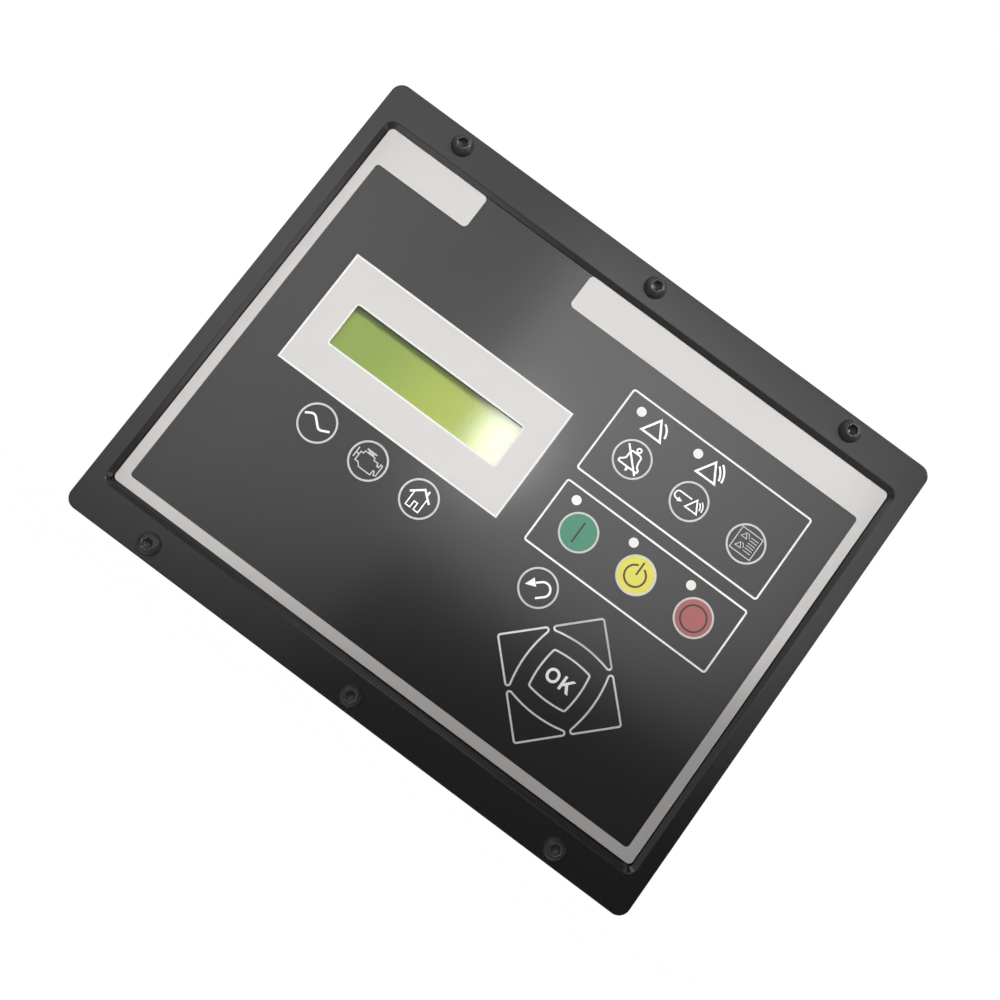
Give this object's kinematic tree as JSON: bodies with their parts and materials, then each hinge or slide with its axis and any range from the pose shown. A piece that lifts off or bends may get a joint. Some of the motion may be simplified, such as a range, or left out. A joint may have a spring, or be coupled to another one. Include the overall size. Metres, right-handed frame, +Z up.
{
  "type": "control display panel",
  "caption": "Flush-mount control panel with a membrane keypad, a two-line display window, lamp dots, and a ribbed rear housing with a plug socket.",
  "frame": {"origin": "centre of the mounting face, which is the rear face of the gasket under the front flange", "axes": "+X to the right as seen from the front, +Z up the face, -Y out of the face towards the user, +Y into the cabinet"},
  "size_m": [0.2676, 0.0593, 0.215],
  "materials": {
    "frame_plastic": "matte, fine moulded texture",
    "foam": "closed-cell foam",
    "black_screw": "black oxide",
    "charcoal_film": "semi-matte printed film",
    "pale_ink": "warm pale grey print",
    "white_ink": "white print",
    "green_ink": "green print",
    "yellow_ink": "yellow print",
    "red_ink": "red print",
    "milky_ink": "milky translucent print",
    "spacer_film": "plain film",
    "dome_steel": "stainless",
    "circuit_film": "film with printed tracks",
    "plate_metal": "bare sheet",
    "clear_lens": "clear, hard coated",
    "bezel_steel": "black",
    "display_green": "yellow-green display with glossy polariser",
    "light_guide": "diffusing",
    "circuit_board": "green solder mask",
    "brass_spacer": "turned",
    "plain_screw": "zinc plated",
    "black_moulding": "moulded",
    "light_pipe": "clear",
    "lamp_chip": "phosphor lamp",
    "ivory_moulding": "moulded",
    "can_sleeve": "sleeved can",
    "relay_case": "moulded case",
    "transformer_case": "potted case",
    "socket_moulding": "glass-filled moulding",
    "plated_pin": "plated contact",
    "seal_rubber": "silicone",
    "housing_casting": "black powder coat on a casting"
  },
  "bodies": {
    "root": {"front_frame": "frame_plastic", "panel_gasket": "foam", "mounting_screws": "black_screw", "graphic_overlay": "charcoal_film", "pale_print": "pale_ink", "line_print": "white_ink", "start_key_print": "green_ink", "auto_key_print": "yellow_ink", "stop_key_print": "red_ink", "lamp_print": "milky_ink", "keypad_spacer": "spacer_film", "snap_domes": "dome_steel", "keypad_circuit": "circuit_film", "keypad_plate": "plate_metal", "display_lens": "clear_lens", "display_bezel": "bezel_steel", "display_glass": "display_green", "display_backlight": "light_guide", "display_board": "circuit_board", "display_standoffs": "brass_spacer", "display_screws": "plain_screw", "display_link": "black_moulding", "light_pipes": "light_pipe", "status_lamps": "lamp_chip", "main_board": "circuit_board", "board_standoffs": "brass_spacer", "board_screws": "plain_screw", "keypad_connector": "ivory_moulding", "processor": "black_moulding", "driver_chips": "black_moulding", "capacitors": "can_sleeve", "relays": "relay_case", "transformers": "transformer_case", "socket_shell": "socket_moulding", "socket_pins": "plated_pin", "socket_insert": "brass_spacer", "socket_seal": "seal_rubber", "rear_housing": "housing_casting", "housing_seal": "seal_rubber", "housing_screws": "plain_screw"}
  },
  "joints": []
}
